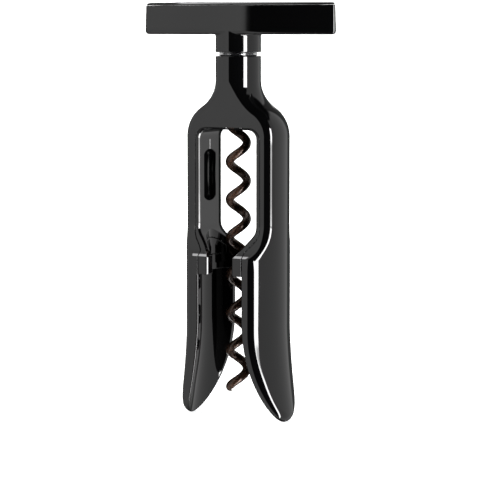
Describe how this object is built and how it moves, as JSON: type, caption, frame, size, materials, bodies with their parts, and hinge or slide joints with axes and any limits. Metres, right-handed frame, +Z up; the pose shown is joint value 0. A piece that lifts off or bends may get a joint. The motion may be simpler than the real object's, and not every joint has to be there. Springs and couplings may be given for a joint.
{
  "type": "table corkscrew",
  "caption": "Self-pulling T-handle corkscrew: a sprung two-legged frame sits on the bottle lip and guides a long coated worm turned by a lens-shaped bar.",
  "frame": {"origin": "on the worm's axis, level with the tips of the legs", "axes": "+Z up along the worm to the handle, +X from the left leg to the right leg, -Y the front"},
  "size_m": [0.0856, 0.0308, 0.1656],
  "materials": {
    "gloss_shell": "high-gloss moulded black ABS",
    "bearing_plastic": "satin black acetal",
    "worm_coating": "dark brown non-stick coating on spring steel, thin on the outside of the coil",
    "bare_steel": "turned and zinc-plated steel"
  },
  "bodies": {
    "frame": {"frame_yoke": "gloss_shell", "neck_bush": "bearing_plastic"},
    "leg_left": {"left_leg": "gloss_shell", "left_lip_rest": "gloss_shell"},
    "leg_right": {"right_leg": "gloss_shell", "right_lip_rest": "gloss_shell"},
    "washer": {"thrust_washer": "bearing_plastic"},
    "handle": {"handle_body": "gloss_shell", "handle_cover": "gloss_shell", "worm": "worm_coating", "worm_hub": "bare_steel", "shank_pin": "bare_steel", "hub_screw": "bare_steel", "screw_washer": "bare_steel"}
  },
  "joints": [
    {"name": "handle_lift", "type": "slide", "parent": "frame", "child": "washer", "axis": [0, 0, 1], "range_m": [0, 0.125]},
    {"name": "handle_turn", "type": "hinge", "parent": "washer", "child": "handle", "pos_m": [0, 0, 0.1453], "axis": [0, 0, 1], "continuous": true},
    {"name": "left_leg_squeeze", "type": "hinge", "parent": "frame", "child": "leg_left", "pos_m": [-0.0183, 0, 0.0971], "axis": [0, -1, 0], "range_deg": [0, 3], "stiffness_Nm_per_rad": 4},
    {"name": "right_leg_squeeze", "type": "hinge", "parent": "frame", "child": "leg_right", "pos_m": [0.0183, 0, 0.0971], "axis": [0, 1, 0], "range_deg": [0, 3], "stiffness_Nm_per_rad": 4}
  ]
}
